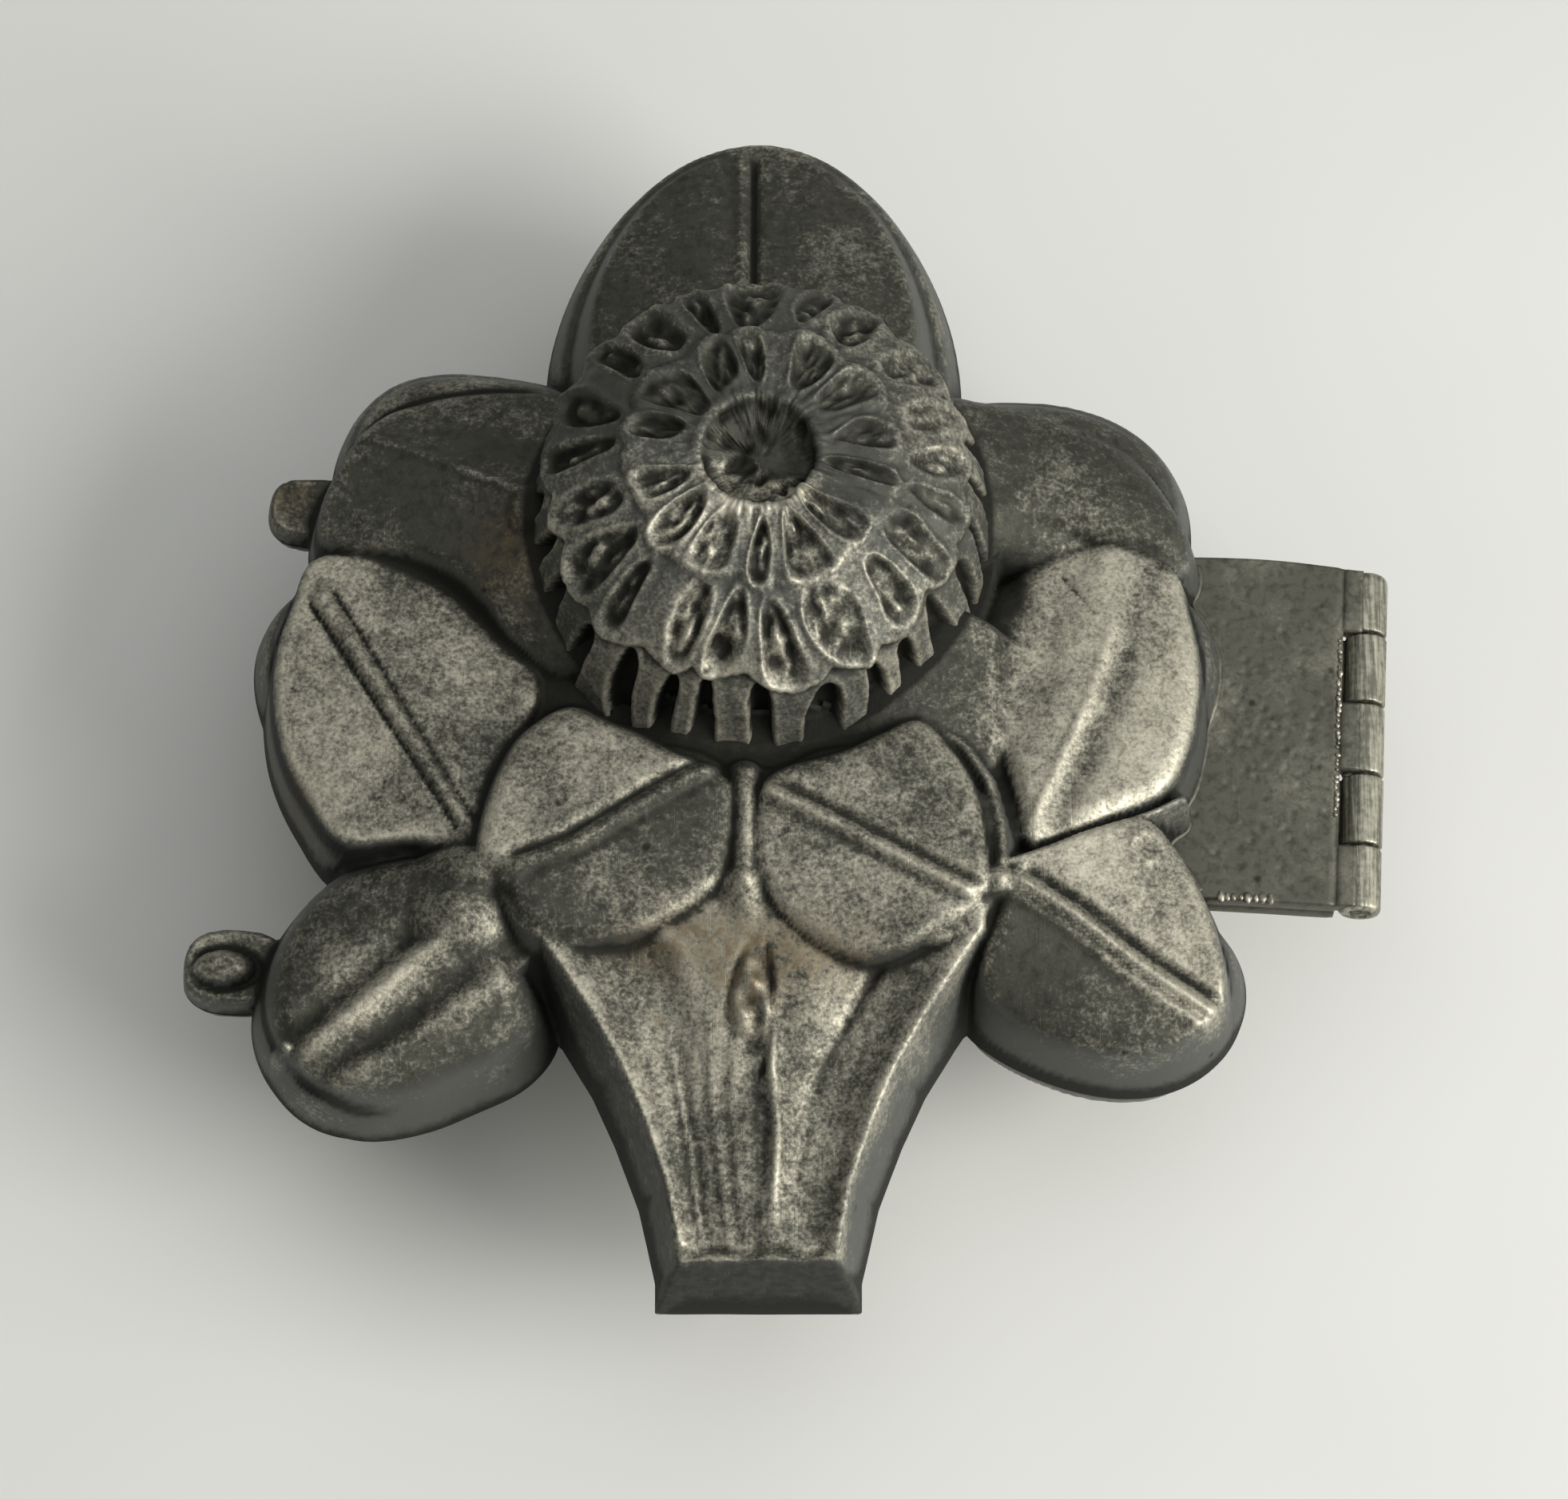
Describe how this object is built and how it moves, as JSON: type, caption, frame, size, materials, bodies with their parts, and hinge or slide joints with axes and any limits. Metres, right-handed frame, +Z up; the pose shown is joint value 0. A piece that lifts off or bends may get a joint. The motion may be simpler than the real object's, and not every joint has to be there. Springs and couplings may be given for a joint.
{
  "type": "ice cream mould",
  "caption": "Hinged pewter ice cream mould shaped as a flower with leaves and a flared stem, in two hollow halves joined by a pin hinge",
  "frame": {"origin": "point on the flat that the closed mould rests on, under the middle of the flower, in the plane of the lower half's lowest face", "axes": "+Z up and square to the parting plane, +X towards the hinge, +Y from the blunt stem to the top leaf"},
  "size_m": [0.1075, 0.1108, 0.045],
  "materials": {
    "shell_pewter": "tarnished cast pewter, satin where handled and matt grey-brown in the hollows",
    "hinge_pewter": "tarnished cast pewter, smoother and pitted, bright on its worn edges",
    "pin_wire": "dull drawn wire"
  },
  "bodies": {
    "lower": {"lower_half": "shell_pewter", "lower_hinge_leaf": "hinge_pewter", "hinge_pin": "pin_wire"},
    "upper": {"upper_half": "shell_pewter", "upper_hinge_leaf": "hinge_pewter"}
  },
  "joints": [
    {"name": "mould_hinge", "type": "hinge", "parent": "lower", "child": "upper", "pos_m": [0.054, -0.00145, 0.021], "axis": [0.0628, 0.998, 0], "range_deg": [0, 175]}
  ]
}
